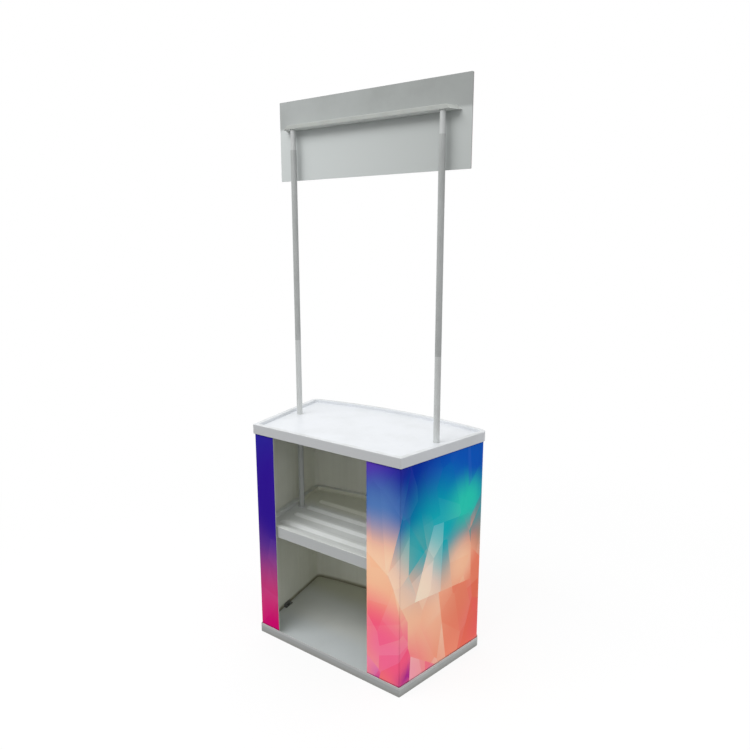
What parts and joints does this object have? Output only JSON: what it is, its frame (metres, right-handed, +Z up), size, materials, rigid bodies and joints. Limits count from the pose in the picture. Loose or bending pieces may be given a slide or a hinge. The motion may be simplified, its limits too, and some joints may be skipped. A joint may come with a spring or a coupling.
{
  "type": "exhibition counter",
  "caption": "Free-standing promotional counter: bent wrap body in a base tray, with an inner shelf, a rimmed tabletop and poles that carry a header board.",
  "frame": {"origin": "on the floor, under the middle of the tabletop's outline", "axes": "+Z up; -Y the open service side; +Y the bowed customer side; +X the right-hand side seen from the service side"},
  "size_m": [0.8158, 0.486, 2.016],
  "materials": {
    "base_plastic": "white, fine satin grain",
    "top_plastic": "white, fine satin grain",
    "shelf_plastic": "white, fine satin grain",
    "panel_plastic": "light grey back of the sheet, satin",
    "print_film": null,
    "clip_plastic": "dark, satin",
    "bracket_plastic": "white, satin",
    "bush_plastic": "white, satin",
    "plug_plastic": "grey, satin",
    "pole_plastic": "pale grey tube, satin",
    "spigot_plastic": "pale grey, satin",
    "board_plastic": "white board, satin",
    "rail_plastic": "white, satin",
    "foam_tape": "double-sided foam tape",
    "steel": "zinc-plated screws"
  },
  "bodies": {
    "base": {"base_tray": "base_plastic", "left_panel_clip": "clip_plastic", "right_panel_clip": "clip_plastic", "clip_screws": "steel"},
    "wrap": {"body_panel": "panel_plastic", "body_graphic": "print_film", "shelf_bracket_near_left": "bracket_plastic", "shelf_bracket_near_right": "bracket_plastic", "shelf_bracket_far_left": "bracket_plastic", "shelf_bracket_far_right": "bracket_plastic", "bracket_tapes": "foam_tape"},
    "top": {"tabletop": "top_plastic", "left_top_bush": "bush_plastic", "right_top_bush": "bush_plastic"},
    "shelf": {"shelf": "shelf_plastic", "left_shelf_socket": "bush_plastic", "right_shelf_socket": "bush_plastic"},
    "left_lower": {"left_lower_pole": "pole_plastic", "left_pole_foot": "plug_plastic", "left_pole_joiner": "plug_plastic"},
    "right_lower": {"right_lower_pole": "pole_plastic", "right_pole_foot": "plug_plastic", "right_pole_joiner": "plug_plastic"},
    "left_upper": {"left_upper_pole": "pole_plastic", "left_pole_spigot": "spigot_plastic"},
    "right_upper": {"right_upper_pole": "pole_plastic", "right_pole_spigot": "spigot_plastic"},
    "header": {"header_board": "board_plastic", "header_rail": "rail_plastic", "header_screws": "steel", "header_graphic": "print_film"}
  },
  "joints": [
    {"name": "wrap_lift", "type": "slide", "parent": "base", "child": "wrap", "axis": [0, 0, 1], "range_m": [0, 0.06]},
    {"name": "top_lift", "type": "slide", "parent": "wrap", "child": "top", "axis": [0, 0, 1], "range_m": [0, 0.12]},
    {"name": "shelf_lift", "type": "slide", "parent": "wrap", "child": "shelf", "axis": [0, 0, 1], "range_m": [0, 0.3]},
    {"name": "left_pole_lift", "type": "slide", "parent": "shelf", "child": "left_lower", "axis": [0, 0, 1], "range_m": [0, 0.45]},
    {"name": "right_pole_lift", "type": "slide", "parent": "shelf", "child": "right_lower", "axis": [0, 0, 1], "range_m": [0, 0.45]},
    {"name": "left_upper_lift", "type": "slide", "parent": "left_lower", "child": "left_upper", "axis": [0, 0, 1], "range_m": [0, 0.08]},
    {"name": "right_upper_lift", "type": "slide", "parent": "right_lower", "child": "right_upper", "axis": [0, 0, 1], "range_m": [0, 0.08]},
    {"name": "header_lift", "type": "slide", "parent": "left_upper", "child": "header", "axis": [0, 0, 1], "range_m": [0, 0.06]}
  ],
  "couplings": [
    {"joint": "right_pole_lift", "follows": "left_pole_lift", "ratio": 1},
    {"joint": "right_upper_lift", "follows": "left_upper_lift", "ratio": 1}
  ]
}
